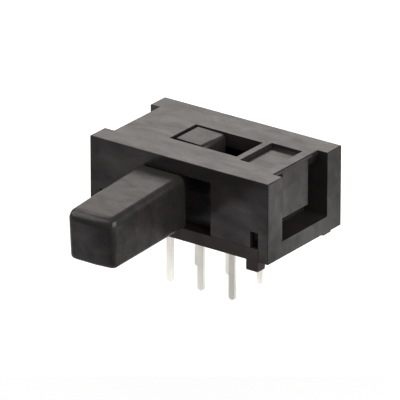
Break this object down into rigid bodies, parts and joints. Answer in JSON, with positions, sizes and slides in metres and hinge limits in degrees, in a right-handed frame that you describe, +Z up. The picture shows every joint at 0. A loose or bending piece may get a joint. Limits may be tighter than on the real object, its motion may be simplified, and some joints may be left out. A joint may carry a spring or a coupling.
{
  "type": "slide switch",
  "caption": "Side-actuated board-mount slide switch: black moulded housing with a long square stem, a top window showing the slide's position, and two rows of flat pins.",
  "frame": {"origin": "middle of the six-pin field, on the board's surface where the four feet stand", "axes": "+X along the slide's travel, towards the recess in the top; -Y out along the stem; +Z up from the board"},
  "size_m": [0.0144, 0.0163, 0.0102],
  "materials": {
    "housing_plastic": "satin moulded, black",
    "base_plastic": "satin moulded, brown-black",
    "actuator_plastic": "satin moulded, black",
    "tinned_brass": "bright tin plate",
    "silvered_bronze": "silver plate",
    "spring_steel": "rolled stainless strip"
  },
  "bodies": {
    "body": {"housing": "housing_plastic", "base": "base_plastic", "terminal_front_left": "tinned_brass", "terminal_front_centre": "tinned_brass", "terminal_front_right": "tinned_brass", "terminal_rear_left": "tinned_brass", "terminal_rear_centre": "tinned_brass", "terminal_rear_right": "tinned_brass"},
    "slider": {"actuator": "actuator_plastic", "contact_clip_front": "silvered_bronze", "contact_clip_rear": "silvered_bronze", "detent_spring": "spring_steel"}
  },
  "joints": [
    {"name": "slide", "type": "slide", "parent": "body", "child": "slider", "axis": [1, 0, 0], "range_m": [0, 0.00254], "deforming": ["detent_spring"]}
  ]
}
